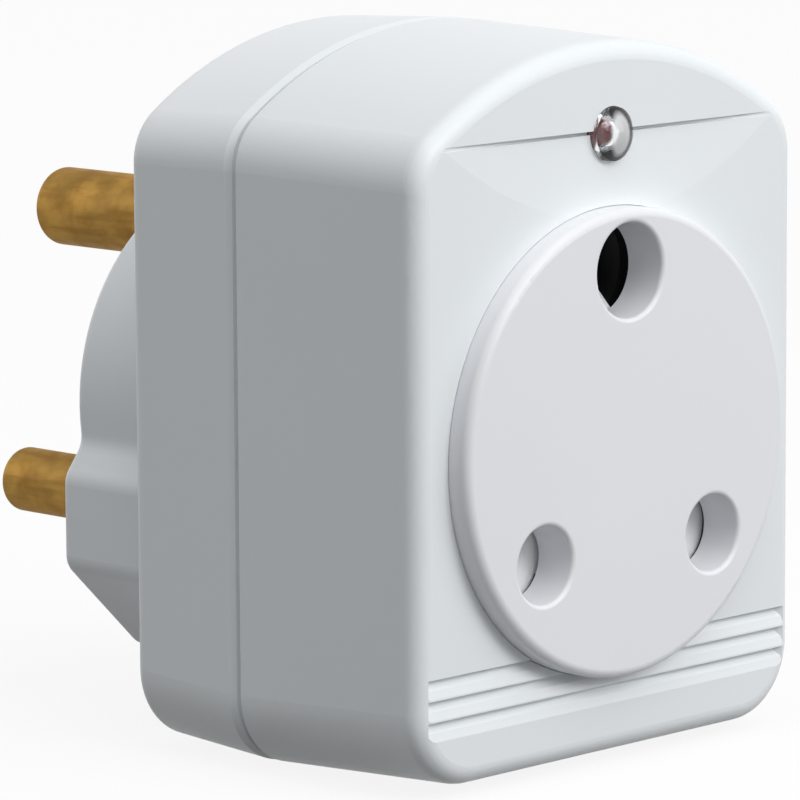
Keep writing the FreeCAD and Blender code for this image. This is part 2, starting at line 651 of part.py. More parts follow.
def build_contact_carrier():
    """Plate behind the disc with a tube for each contact, rails and a spring pocket."""
    foot_half_w = FOOT_SCREW_X + CARRIER_EAR_R + 0.9
    plates = [
        cyl(DISC_R + CARRIER_OVER, CARRIER_Y, PLATE_Y),
        box(-foot_half_w, foot_half_w, CARRIER_Y, PLATE_Y, FOOT_SCREW_Z - 2.0, LN_Z - 0.52),
    ]
    for x, z in CARRIER_SCREWS:
        plates.append(cyl(CARRIER_EAR_R, CARRIER_Y, PLATE_Y, x, z))
    for s in (-1, 1):
        near = CARRIER_SCREW_X - CARRIER_EAR_R
        far = CARRIER_SCREW_X + CARRIER_EAR_R
        plates.append(side_box(s, near, far, CARRIER_Y, PLATE_Y, EARTH_Z, CARRIER_SCREW_Z))
    tubes = [
        (LINE_TUBE_R, BASE_Y, LINE_AXIS),
        (LINE_TUBE_R, BASE_Y, NEUTRAL_AXIS),
        (EARTH_TUBE_R, EARTH_TUBE_END_Y, EARTH_AXIS),
    ]
    walls = [cyl(r, CARRIER_Y, end_y, x, z) for r, end_y, (x, z) in tubes]
    bores = [cyl(r - TUBE_T, CARRIER_Y - 1, end_y + 1, x, z) for r, end_y, (x, z) in tubes]

    # rails that guide the stem and stop the bar of the shutter
    rails = []
    for s in (-1, 1):
        near = STEM_HALF_W + FIT_GAP
        rails.append(side_box(s, near, near + RAIL_W, WALL_Y + 0.3, CARRIER_Y,
                              LN_Z + BAR_HALF_H + 0.05, RAMP_Z - 7.8))
    body = fuse(plates + walls + rails)

    half = WEDGE_HALF_W + LOOSE_GAP
    slot_z = RAMP_Z - WEDGE_BODY - SHUTTER_TRAVEL - 0.6
    pocket = SPRING_R + 0.65
    cuts = bores + [
        box(-half, half, CARRIER_Y - 1, PLATE_Y + 1, slot_z, EARTH_Z),
        box(-half - 0.05, half + 0.05, PLATE_Y - 0.1, EARTH_TUBE_END_Y + 1, 0, EARTH_Z),
        box(-pocket, pocket, CARRIER_Y - 1, PLATE_Y + 1, SPRING_BOTTOM_Z, LN_Z + BAR_HALF_H + 0.2),
    ]
    for x, z in CARRIER_SCREWS:
        cuts.append(cyl(SMALL_CLEAR_R, CARRIER_Y - 1, PLATE_Y + 1, x, z))
    return cut_all(body, cuts)


def build_pin(axis, r, length):
    """Turned pin: shank, shoulder in the face, collar, tail and riveted stub."""
    x, z = axis
    shank = cyl(r, HEAD_Y, length, x, z)
    shank = shank.makeFillet(PIN_TIP_R, edges_at(shank, length))
    room = cyl(BOSS_R - BOSS_WALL - FIT_GAP, PIN_END_Y - 5, 0)
    stub_y = PIN_END_Y - STRAP_T
    return fuse([
        shank,
        cyl(r + PIN_SHOULDER, HEAD_Y, 0, x, z),
        cyl(r + COLLAR_RIM, COLLAR_Y, HEAD_Y, x, z).common(room),
        cyl(r - PIN_SHOULDER, PIN_END_Y, COLLAR_Y, x, z).common(room),
        cyl(STUB_R, stub_y, PIN_END_Y, x, z),
        cyl(STUB_HEAD_R, stub_y - STUB_HEAD_T, stub_y, x, z),
    ])


def build_pin_plate():
    y0 = PIN_PLATE_Y
    plate = cyl(BOSS_R - BOSS_WALL - PIN_PLATE_GAP, y0, COLLAR_Y)
    plate = plate.cut(box(-FAR, FAR, y0 - 1, COLLAR_Y + 1, -FAR, LN_Z - 5.32))
    pads = [cyl(PIN_PAD_R, y0, COLLAR_Y, x, z) for x, z in (LINE_AXIS, NEUTRAL_AXIS)]
    holes = []
    for r, (x, z) in pin_spots():
        holes.append(cyl(r - PIN_SHOULDER + FIT_GAP, y0 - 1, COLLAR_Y + 1, x, z))
    for x, z in PLATE_SCREWS:
        holes.append(cyl(SMALL_CLEAR_R, y0 - 1, COLLAR_Y + 1, x, z))
    return cut_all(fuse([plate] + pads), holes)


def line_rivet_body(x, z, gap):
    """Countersunk rivet, flush with the front of the contact's base."""
    flare = Part.makeCone(RIVET_HEAD_R + gap, RIVET_R + gap, SLEEVE_T, V(x, BASE_Y, z), ALONG_Y)
    return flare.fuse(cyl(RIVET_R + gap, STRAP_Y, STRAP_Y + STRAP_T, x, z))


def build_line_contact(axis):
    x, z = axis
    sleeve = tube(LINE_SLEEVE_R + SLEEVE_T, LINE_SLEEVE_R, LINE_SLEEVE_Y0, BASE_Y, x, z)
    slit = box(x - SLIT_W / 2, x + SLIT_W / 2, LINE_SLEEVE_Y0 - 1, BASE_Y - 2.5, z - 8, z + 8)
    base = cyl(LINE_TUBE_R - 0.4, BASE_Y, STRAP_Y, x, z)
    return fuse([sleeve.cut(slit), base]).cut(line_rivet_body(x, z, GRIP_GAP))


def build_earth_contact():
    x, z = EARTH_AXIS
    y0 = EARTH_SLEEVE_Y0
    y1 = EARTH_SLEEVE_Y1
    z1 = EARTH_STRAP_TOP_Z
    sleeve = tube(EARTH_SLEEVE_R + SLEEVE_T, EARTH_SLEEVE_R, y0, y1, x, z)
    pad = box(-FOOT_PAD_HALF_W, FOOT_PAD_HALF_W, y0, y1, z1, z1 + FOOT_PAD_T)
    pad = pad.cut(cyl(EARTH_SLEEVE_R, y0 - 1, y1 + 1, x, z))
    sleeve = fuse([sleeve, pad])
    sleeve = sleeve.cut(box(x - SLIT_W / 2, x + SLIT_W / 2, y0 - 1, y1 - 3.0, z, z + 8))
    wings = []
    for s in (-1, 1):
        near = EARTH_SLEEVE_R + SLEEVE_T / 2
        far = EARTH_TUBE_R - TUBE_T - GRIP_GAP
        wings.append(side_box(s, near, far, y0 + 3.0, y1 - 1.0, z - 0.5, z + 0.5))
    hole = upright(EARTH_RIVET_R + GRIP_GAP, z1 - 3, z1 + 3, 0, EARTH_RIVET_Y)
    return fuse([sleeve] + wings).cut(hole)


def build_line_strap(axis):
    """Strip from the contact's base to the stub of the pin, bent twice."""
    x, z = axis
    w = STRAP_W / 2
    z0 = z + STRAP_RISE
    z1 = z0 + STRAP_T
    strip = fuse([
        box(x - w, x + w, STRAP_Y, STRAP_Y + STRAP_T, z - w, z1),
        box(x - w, x + w, STRAP_Y, PIN_END_Y, z0, z1),
        box(x - w, x + w, PIN_END_Y - STRAP_T, PIN_END_Y, z - w, z1),
    ])
    return cut_all(strip, [
        cyl(RIVET_R + GRIP_GAP, STRAP_Y - 1, STRAP_Y + 2, x, z),
        cyl(STUB_R + GRIP_GAP, PIN_END_Y - 2, PIN_END_Y + 1, x, z),
    ])


def build_earth_strap():
    w = EARTH_STRAP_W / 2
    z1 = EARTH_STRAP_TOP_Z
    z0 = z1 - STRAP_T
    strip = fuse([
        box(-w, w, EARTH_SLEEVE_Y0 + 1.0, PIN_END_Y, z0, z1),
        box(-w, w, PIN_END_Y - STRAP_T, PIN_END_Y, z0, EARTH_Z + w),
    ])
    return cut_all(strip, [
        cyl(STUB_R + GRIP_GAP, PIN_END_Y - 2, PIN_END_Y + 1, 0, EARTH_Z),
        upright(EARTH_RIVET_R + GRIP_GAP, z0 - 3, z0 + 3, 0, EARTH_RIVET_Y),
    ])


def build_contact_rivets():
    rivets = []
    head_y = STRAP_Y + STRAP_T
    for x, z in (LINE_AXIS, NEUTRAL_AXIS):
        head = cyl(RIVET_HEAD_R, head_y, head_y + RIVET_HEAD_T, x, z)
        rivets.append(fuse([line_rivet_body(x, z, 0.0), head]))
    low = EARTH_STRAP_TOP_Z - STRAP_T
    rivets.append(fuse([
        upright(EARTH_RIVET_R, low, EARTH_STRAP_TOP_Z + 0.7, 0, EARTH_RIVET_Y),
        upright(EARTH_RIVET_HEAD_R, low - RIVET_HEAD_T, low, 0, EARTH_RIVET_Y),
    ]))
    return Part.makeCompound(rivets)


def strap_slots():
    """Front-view rectangles in which the three straps cross the circuit board."""
    slots = []
    for x, z in (LINE_AXIS, NEUTRAL_AXIS):
        z0 = z + STRAP_RISE
        slots.append((x - STRAP_W / 2, x + STRAP_W / 2, z0, z0 + STRAP_T))
    w = EARTH_STRAP_W / 2
    slots.append((-w, w, EARTH_STRAP_TOP_Z - STRAP_T, EARTH_STRAP_TOP_Z))
    return slots


def build_circuit_board():
    y0 = BOARD_FRONT_Y
    y1 = BOARD_Y
    neck = BOARD_NECK_HALF_W
    board = fuse([
        box(-BOARD_HALF_W, BOARD_HALF_W, y0, y1, BOARD_HIP_Z, BOARD_SHOULDER_Z),
        box(-neck, neck, y0, y1, BOARD_BOTTOM_Z, BOARD_TOP_Z),
    ])
    g = SLOT_GAP
    holes = [box(x0 - g, x1 + g, y0 - 1, y1 + 1, z0 - g, z1 + g) for x0, x1, z0, z1 in strap_slots()]
    for x, z in BOARD_SCREWS:
        holes.append(cyl(SMALL_CLEAR_R, y0 - 1, y1 + 1, x, z))
    for s in (-1, 1):
        holes.append(cyl(WIRE_CORE_R + 0.15, y0 - 1, y1 + 1, LENS_X + s * LED_PITCH / 2, LENS_Z))
    return cut_all(board, holes)


def rectangle(y, x0, x1, z0, z1, reach):
    return Part.makePolygon([
        V(x0 - reach, y, z0 - reach),
        V(x1 + reach, y, z0 - reach),
        V(x1 + reach, y, z1 + reach),
        V(x0 - reach, y, z1 + reach),
        V(x0 - reach, y, z0 - reach),
    ])


def build_strap_solder():
    lumps = []
    y1 = BOARD_FRONT_Y
    for slot in strap_slots():
        lump = Part.makeLoft([
            rectangle(y1, *slot, SOLDER_REACH),
            rectangle(y1 - SOLDER_H, *slot, 0.2),
        ], True, True)
        strap = Part.Face(rectangle(y1 - 2 * SOLDER_H, *slot, 0.01)).extrude(V(0, 3 * SOLDER_H, 0))
        lumps.append(lump.cut(strap))
    return Part.makeCompound(lumps)


def build_varistor(x, z, lead_dir):
    """Coated disc that lies on the board, with both leads leaving on one side."""
    y1 = BOARD_FRONT_Y
    disc = cyl(VARISTOR_R, y1 - VARISTOR_T, y1, x, z)
    disc = disc.makeFillet(VARISTOR_EDGE_R, edges_at(disc, y1 - VARISTOR_T) + edges_at(disc, y1))
    dx, dz = lead_dir
    out = math.sqrt(VARISTOR_R ** 2 - VARISTOR_LEAD_X ** 2) + 0.1
    leads = []
    for s in (-VARISTOR_LEAD_X, VARISTOR_LEAD_X):
        lx = x + dx * out - dz * s
        lz = z + dz * out + dx * s
        leads.append(cyl(VARISTOR_LEAD_R, y1 - VARISTOR_T / 2, y1, lx, lz))
    return fuse([disc] + leads)


def axial_part(x, z, r, length, lead_r, span):
    """Cylinder lying along X on the board, with two bent leads."""
    yc = BOARD_FRONT_Y - r
    body = Part.makeCylinder(r, length, V(x - length / 2, yc, z), ALONG_X)
    ends = [e for e in body.Edges if e.BoundBox.XLength < 0.01]
    body = body.makeFillet(r * 0.3, ends)
    half = span / 2
    bend = lead_r * 2
    k = bend * (1 - math.sqrt(0.5))
    leads = []
    for s in (-1, 1):
        inner = V(x + s * (length / 2 - 0.5), yc, z)
        a = V(x + s * (half - bend), yc, z)
        m = V(x + s * (half - k), yc + k, z)
        b = V(x + s * half, yc + bend, z)
        end = V(x + s * half, BOARD_FRONT_Y, z)
        path = Part.Wire([Part.makeLine(inner, a), arc(a, m, b), Part.makeLine(b, end)])
        ring = Part.Circle(inner, ALONG_X, lead_r).toShape()
        leads.append(path.makePipeShell([Part.Wire([ring])], True, True))
    return fuse([body] + leads)


def build_filter_capacitor():
    w, h, d = CAPACITOR_SIZE
    y1 = BOARD_FRONT_Y
    block = box(CAPACITOR_X - w / 2, CAPACITOR_X + w / 2, y1 - h, y1,
                CAPACITOR_Z - d / 2, CAPACITOR_Z + d / 2)
    rims = [e for e in block.Edges if e.BoundBox.YMin < y1 - 0.1]
    return block.makeFillet(0.5, rims)


def build_indicator_lens():
    tip_y = FRONT_Y - LENS_PROUD
    wide = LENS_R + 1
    dome = Part.makeSphere(LENS_DOME_R, V(LENS_X, tip_y + LENS_DOME_R, LENS_Z))
    dome = dome.common(cyl(wide, tip_y - 0.1, tip_y + LENS_DOME_R, LENS_X, LENS_Z))
    keep = dome.fuse(cyl(wide, FRONT_Y + LENS_PROUD, WALL_Y + 1, LENS_X, LENS_Z))
    barrel = cyl(LENS_R, tip_y - 0.1, WALL_Y, LENS_X, LENS_Z).common(keep)
    body = fuse([barrel, cyl(LENS_FLANGE_R, WALL_Y, LENS_BACK_Y, LENS_X, LENS_Z)])
    cap_y = LED_TIP_Y + LED_R
    hollow = cyl(LED_R + FIT_GAP, cap_y, LENS_BACK_Y + 1, LENS_X, LENS_Z)
    cap = Part.makeSphere(LED_R + FIT_GAP, V(LENS_X, cap_y, LENS_Z))
    return body.cut(hollow.fuse(cap))


def build_indicator_led():
    cap_y = LED_TIP_Y + LED_R
    return fuse([
        cyl(LED_R, cap_y, LED_END_Y, LENS_X, LENS_Z),
        Part.makeSphere(LED_R, V(LENS_X, cap_y, LENS_Z)),
        cyl(LED_R + LED_RIM, LED_END_Y - 0.9, LED_END_Y, LENS_X, LENS_Z),
    ])


def build_indicator_clip():
    y0 = LENS_BACK_Y
    y1 = y0 + CLIP_T
    reach = CLIP_PEG_X + CLIP_PEG_R + 0.9
    clip = fuse([
        cyl(LENS_FLANGE_R + 0.6, y0, y1, LENS_X, LENS_Z),
        box(LENS_X - reach, LENS_X + reach, y0, y1, LENS_Z - CLIP_HALF_H, LENS_Z + CLIP_HALF_H),
    ])
    holes = [cyl(LED_R + 0.5, y0 - 1, y1 + 1, LENS_X, LENS_Z)]
    for s in (-1, 1):
        holes.append(cyl(CLIP_PEG_R + FIT_GAP, y0 - 1, y1 + 1, LENS_X + s * CLIP_PEG_X, LENS_Z))
    return cut_all(clip, holes)


def build_indicator_wires():
    wires = []
    bare = 3.0
    for s in (-1, 1):
        x = LENS_X + s * LED_PITCH / 2
        wires.append(fuse([
            cyl(WIRE_CORE_R, LED_END_Y, LED_END_Y + bare, x, LENS_Z),
            cyl(WIRE_R, LED_END_Y + bare - 1.0, BOARD_FRONT_Y - 0.6, x, LENS_Z),
            cyl(WIRE_CORE_R, BOARD_FRONT_Y - 1.0, BOARD_Y + 0.6, x, LENS_Z),
        ]))
    return Part.makeCompound(wires)


def build_case_screws():
    return Part.makeCompound([
        screw(x, z, CASE_HEAD_Y, CASE_SCREW_LEN, CASE_HEAD_R, CASE_HEAD_T, CASE_SHANK_R)
        for x, z in CASE_SCREWS
    ])


def build_carrier_screws():
    length = PLATE_Y - FRONT_Y - 1.6
    return Part.makeCompound([small_screw(x, z, PLATE_Y, length) for x, z in CARRIER_SCREWS])


NODES = {
    "front_shell": build_front_shell,
    "rear_shell": build_rear_shell,
    "socket_face": build_socket_face,
    "shutter": build_shutter,
    "shutter_spring": build_shutter_spring,
    "contact_carrier": build_contact_carrier,
    "carrier_screws": build_carrier_screws,
    "earth_pin": lambda: build_pin(EARTH_AXIS, EARTH_PIN_R, EARTH_PIN_LEN),
    "line_pin": lambda: build_pin(LINE_AXIS, LINE_PIN_R, LINE_PIN_LEN),
    "neutral_pin": lambda: build_pin(NEUTRAL_AXIS, LINE_PIN_R, LINE_PIN_LEN),
    "pin_plate": build_pin_plate,
    "pin_plate_screws": lambda: small_screws_rearward(PLATE_SCREWS, PIN_PLATE_Y, 4.6),
    "earth_contact": build_earth_contact,
    "line_contact": lambda: build_line_contact(LINE_AXIS),
    "neutral_contact": lambda: build_line_contact(NEUTRAL_AXIS),
    "earth_strap": build_earth_strap,
    "line_strap": lambda: build_line_strap(LINE_AXIS),
    "neutral_strap": lambda: build_line_strap(NEUTRAL_AXIS),
    "contact_rivets": build_contact_rivets,
    "circuit_board": build_circuit_board,
    "board_screws": lambda: small_screws_rearward(BOARD_SCREWS, BOARD_FRONT_Y, 5.2),
    "strap_solder": build_strap_solder,
    "varistor_line_neutral": lambda: build_varistor(0.0, LOW_VARISTOR_Z, (0, -1)),
    "varistor_line_earth": lambda: build_varistor(-SIDE_VARISTOR_X, SIDE_VARISTOR_Z, (0, 1)),
    "varistor_neutral_earth": lambda: build_varistor(SIDE_VARISTOR_X, SIDE_VARISTOR_Z, (0, 1)),
    "thermal_fuse": lambda: axial_part(0.0, FUSE_Z, 2.0, 9.0, 0.4, 13.0),
    "gas_tube": lambda: axial_part(GAS_TUBE_X, GAS_TUBE_Z, 3.0, 5.6, 0.4, 8.4),
    "series_resistor": lambda: axial_part(RESISTOR_X, RESISTOR_Z, 1.2, 6.4, 0.3, 9.4),
    "rectifier_diode": lambda: axial_part(DIODE_X, DIODE_Z, 1.35, 5.2, 0.4, 8.2),
    "filter_capacitor": build_filter_capacitor,
    "indicator_led": build_indicator_led,
    "indicator_lens": build_indicator_lens,
    "indicator_clip": build_indicator_clip,
    "indicator_wires": build_indicator_wires,
    "case_screws": build_case_screws,
}


def main():
    for name, make in NODES.items():
        shape = make()
        if not shape.isValid():
            print("invalid shape", name)
        print(name, "solids", len(shape.Solids), "volume", round(shape.Volume, 1))
        shape.exportStep("parts/" + name + ".step")


main()
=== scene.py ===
import bpy
import json
import math
from mathutils import Matrix, Vector


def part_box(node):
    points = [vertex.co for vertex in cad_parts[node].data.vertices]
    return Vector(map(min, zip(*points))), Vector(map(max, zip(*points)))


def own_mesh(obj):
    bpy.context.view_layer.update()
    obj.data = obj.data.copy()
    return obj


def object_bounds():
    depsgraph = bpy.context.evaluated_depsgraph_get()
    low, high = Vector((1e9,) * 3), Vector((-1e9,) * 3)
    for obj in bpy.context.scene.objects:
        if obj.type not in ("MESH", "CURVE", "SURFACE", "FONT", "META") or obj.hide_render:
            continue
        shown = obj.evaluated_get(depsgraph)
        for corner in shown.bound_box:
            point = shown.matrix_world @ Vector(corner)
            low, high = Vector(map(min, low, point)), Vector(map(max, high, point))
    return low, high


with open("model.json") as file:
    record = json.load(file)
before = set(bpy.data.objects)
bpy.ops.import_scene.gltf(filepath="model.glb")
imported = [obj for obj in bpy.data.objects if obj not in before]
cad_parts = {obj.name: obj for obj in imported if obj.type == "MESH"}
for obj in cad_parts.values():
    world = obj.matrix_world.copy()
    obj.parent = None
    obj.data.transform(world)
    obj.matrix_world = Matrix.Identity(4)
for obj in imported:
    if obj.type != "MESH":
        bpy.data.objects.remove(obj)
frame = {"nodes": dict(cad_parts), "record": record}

CAD_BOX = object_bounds()
NODES = frame["nodes"]

# Camera, fitted to the photograph
CAM_AZIMUTH = -45.64
CAM_ELEVATION = 8.75
CAM_ROLL = -0.32
CAM_TARGET = (0.00020, -0.02535, 0.00046)
CAM_DISTANCE = 0.57221
CAM_LENS = 243.44
CAM_SENSOR = 36.0

# Light levels: a level of 1 shows a white surface as white
AMBIENT = 0.35
KEY_LEVEL = 0.39
SIDE_LEVEL = 0.12
TOP_LEVEL = 0.39
REAR_LEVEL = 0.13

# Floor. It is grey to bounced light, and near white to the eye
FLOOR_SIZE = 12.0
FLOOR_GAP = 0.0002
FLOOR_GREY = 0.12
FLOOR_PALE = 0.90
FLOOR_WHITE = 0.88

# Colours, linear
CASE_WHITE = (0.805, 0.842, 0.862)
DISC_WHITE = (0.805, 0.815, 0.845)
SHUTTER_WHITE = (0.900, 0.910, 0.925)
PIN_BRASS = (0.460, 0.258, 0.062)
PIN_BRASS_DARK = (0.250, 0.132, 0.030)
PIN_BRASS_OLIVE = (0.320, 0.205, 0.060)
PIN_BRASS_GLOSS = (0.700, 0.480, 0.180)

# Frosted oval on the lens: its radius across, its soft rim, its width over its height, and
# the share of the light that goes through
LENS_FROST_R = 0.0015
LENS_FROST_RIM = 0.0004
LENS_OVAL = 0.60
LENS_HAZE = 0.40


class Look:
    """One procedural material around a Principled shader. Scales are per metre."""

    def __init__(self, name, color, roughness, metallic=0.0):
        self.material = bpy.data.materials.new(name)
        self.material.use_nodes = True
        self.tree = self.material.node_tree
        self.shader = self.tree.nodes["Principled BSDF"]
        self.place = self.tree.nodes.new("ShaderNodeTexCoord").outputs["Object"]
        self.height = None
        self.set("Base Color", (*color, 1.0))
        self.set("Roughness", roughness)
        self.set("Metallic", metallic)

    def set(self, socket, value):
        self.shader.inputs[socket].default_value = value

    def link(self, a, b):
        self.tree.links.new(a, b)

    def stretched(self, stretch):
        node = self.tree.nodes.new("ShaderNodeMapping")
        node.inputs["Scale"].default_value = stretch
        self.link(self.place, node.inputs["Vector"])
        return node.outputs["Vector"]

    def noise(self, scale, detail=2.0, stretch=(1, 1, 1), seed=0.0):
        node = self.tree.nodes.new("ShaderNodeTexNoise")
        node.noise_dimensions = "4D"
        node.inputs["W"].default_value = seed
        node.inputs["Scale"].default_value = scale
        node.inputs["Detail"].default_value = detail
        self.link(self.stretched(stretch), node.inputs["Vector"])
        return node.outputs["Fac"]

    def span(self, value, low, high, from_low=0.3, from_high=0.7):
        node = self.tree.nodes.new("ShaderNodeMapRange")
        node.inputs["From Min"].default_value = from_low
        node.inputs["From Max"].default_value = from_high
        node.inputs["To Min"].default_value = low
        node.inputs["To Max"].default_value = high
        self.link(value, node.inputs["Value"])
        return node.outputs["Result"]

    def blend(self, value, color_a, color_b):
        node = self.tree.nodes.new("ShaderNodeMix")
        node.data_type = "RGBA"
        for socket, color in ((node.inputs[6], color_a), (node.inputs[7], color_b)):
            if isinstance(color, tuple):
                socket.default_value = (*color, 1.0)
            else:
                self.link(color, socket)
        self.link(value, node.inputs["Factor"])
        return node.outputs[2]

    def color(self, value):
        self.link(value, self.shader.inputs["Base Color"])

    def roughness(self, value):
        self.link(value, self.shader.inputs["Roughness"])

    def bump(self, value, depth, strength=1.0):
        node = self.tree.nodes.new("ShaderNodeBump")
        node.inputs["Strength"].default_value = strength
        node.inputs["Distance"].default_value = depth
        self.link(value, node.inputs["Height"])
        if self.height is not None:
            self.link(self.height, node.inputs["Normal"])
        self.height = node.outputs["Normal"]
        self.link(self.height, self.shader.inputs["Normal"])


def darker(color, share):
    return tuple(c * share for c in color)


def moulded(name, color, rough=(0.34, 0.46), grain=2600, depth=0.000012, flow=0.985):
    """Injection-moulded plastic with a fine spark-eroded grain."""
    look = Look(name, color, sum(rough) / 2)
    fine = look.noise(grain, 2.0)
    cloud = look.noise(45, 3.0, seed=3.0)
    look.color(look.blend(look.span(cloud, 0, 1), darker(color, flow), color))
    look.roughness(look.span(fine, *rough))
    look.bump(fine, depth, 0.5)
    look.set("Specular IOR Level", 0.45)
    return look.material


def pin_brass():
    """Turned brass, tarnished in soft patches, with faint rings round the axis."""
    look = Look("pin_brass", PIN_BRASS, 0.42, 0.55)
    patch = look.noise(380, 5.0, (1.0, 0.8, 1.0))
    stain = look.noise(200, 3.0, (1.0, 0.8, 1.0), seed=5.0)
    streak = look.noise(1100, 3.0, (1.0, 0.10, 1.0), seed=11.0)
    grain = look.noise(2600, 2.0, seed=7.0)
    rings = look.noise(40, 2.0, (2.0, 90.0, 2.0), seed=9.0)
    mottled = look.blend(look.span(patch, 0, 1, 0.36, 0.62), PIN_BRASS_DARK, PIN_BRASS)
    stained = look.blend(look.span(stain, 0, 0.75, 0.42, 0.70), mottled, PIN_BRASS_OLIVE)
    look.color(look.blend(look.span(streak, 0, 0.6, 0.50, 0.66), stained, PIN_BRASS_DARK))
    look.roughness(look.span(patch, 0.50, 0.36))
    look.bump(rings, 0.000006, 0.35)
    look.bump(grain, 0.000010, 0.35)
    look.set("Specular IOR Level", 0.25)
    look.set("Specular Tint", (*PIN_BRASS_GLOSS, 1.0))
    return look.material


def sheet_metal(name, color, rough=(0.22, 0.38), stretch=(60, 1, 60)):
    """Rolled or drawn metal with fine lines along one way."""
    look = Look(name, color, sum(rough) / 2, 1.0)
    lines = look.noise(30, 3.0, stretch)
    stain = look.noise(220, 3.0, seed=2.0)
    look.color(look.blend(look.span(stain, 0, 1), darker(color, 0.82), color))
    look.roughness(look.span(lines, *rough))
    look.bump(lines, 0.000006, 0.4)
    return look.material


def coated(name, color, rough=(0.16, 0.30), peel=420):
    """Dipped epoxy coat with an orange-peel surface."""
    look = Look(name, color, sum(rough) / 2)
    wave = look.noise(peel, 2.0)
    look.color(look.blend(look.span(wave, 0, 1), darker(color, 0.86), color))
    look.roughness(look.span(wave, *rough))
    look.bump(wave, 0.00003, 0.6)
    look.set("Coat Weight", 0.4)
    return look.material


def board_green():
    """Solder mask over copper tracks."""
    green = (0.020, 0.120, 0.045)
    look = Look("board_green", green, 0.35)
    tracks = look.tree.nodes.new("ShaderNodeTexBrick")
    tracks.inputs["Scale"].default_value = 90
    tracks.inputs["Mortar Size"].default_value = 0.035
    look.link(look.stretched((1, 1, 1)), tracks.inputs["Vector"])
    weave = look.noise(1500, 2.0)
    base = look.blend(look.span(weave, 0, 1), darker(green, 0.8), green)
    look.color(look.blend(tracks.outputs["Fac"], base, (0.060, 0.260, 0.100)))
    look.roughness(look.span(weave, 0.30, 0.42))
    look.bump(tracks.outputs["Fac"], 0.00003, 0.5)
    return look.material


def banded_body(name, node, color, bands, rough=0.45):
    """Small axial part with painted rings at shares of its length along X."""
    low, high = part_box(node)
    length = high[0] - low[0]
    look = Look(name, color, rough)
    grain = look.noise(1800, 2.0)
    paint = look.blend(look.span(grain, 0, 1), darker(color, 0.88), color)
    along = look.tree.nodes.new("ShaderNodeSeparateXYZ")
    look.link(look.place, along.inputs["Vector"])
    for share, width, band_color in bands:
        middle = low[0] + share * length
        ring = look.tree.nodes.new("ShaderNodeMath")
        ring.operation = "COMPARE"
        ring.inputs[1].default_value = middle
        ring.inputs[2].default_value = width * length / 2
        look.link(along.outputs["X"], ring.inputs[0])
        paint = look.blend(ring.outputs["Value"], paint, band_color)
    look.color(paint)
    look.bump(grain, 0.00001, 0.4)
    return look.material


def led_red():
    look = Look("led_red", (0.13, 0.003, 0.004), 0.25)
    haze = look.noise(900, 2.0)
    look.color(look.blend(look.span(haze, 0, 1), (0.09, 0.002, 0.003), (0.17, 0.004, 0.005)))
    look.roughness(look.span(haze, 0.18, 0.32))
    look.bump(haze, 0.00001, 0.3)
    return look.material


def lens_clear():
    """Polished acrylic with a faint moulding swirl, and a frosted oval on top of its dome."""
    look = Look("lens_clear", (0.95, 0.96, 0.97), 0.03)
    swirl = look.noise(260, 2.0)
    look.roughness(look.span(swirl, 0.02, 0.06))
    look.bump(swirl, 0.000008, 0.3)
    low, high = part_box("indicator_lens")
    middle = [(a + b) / 2 for a, b in zip(low, high)]
    away = look.tree.nodes.new("ShaderNodeVectorMath")
    away.operation = "MULTIPLY_ADD"
    away.inputs[1].default_value = (1, 0, LENS_OVAL)
    away.inputs[2].default_value = (-middle[0], 0, -middle[2] * LENS_OVAL)
    look.link(look.place, away.inputs[0])
    radius = look.tree.nodes.new("ShaderNodeVectorMath")
    radius.operation = "LENGTH"
    look.link(away.outputs["Vector"], radius.inputs[0])
    along = look.tree.nodes.new("ShaderNodeSeparateXYZ")
    look.link(look.place, along.inputs["Vector"])
    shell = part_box("front_shell")[0][1]
    dome = look.span(along.outputs["Y"], 1, 0, shell - 0.0001, shell)
    oval = look.span(radius.outputs["Value"], 1, 0, LENS_FROST_R - LENS_FROST_RIM, LENS_FROST_R)
    frost = look.tree.nodes.new("ShaderNodeMath")
    frost.operation = "MULTIPLY"
    look.link(dome, frost.inputs[0])
    look.link(oval, frost.inputs[1])
    clear = look.span(frost.outputs["Value"], 1, LENS_HAZE, 0, 1)
    look.link(clear, look.shader.inputs["Transmission Weight"])
    look.set("IOR", 1.49)
    return look.material


def wire_red():
    look = Look("wire_red", (0.45, 0.020, 0.018), 0.42)
    grain = look.noise(1400, 2.0, (1, 0.1, 1))
    look.color(look.blend(look.span(grain, 0, 1), (0.34, 0.012, 0.012), (0.50, 0.026, 0.022)))
    look.roughness(look.span(grain, 0.36, 0.5))
    look.bump(grain, 0.00001, 0.4)
    return look.material


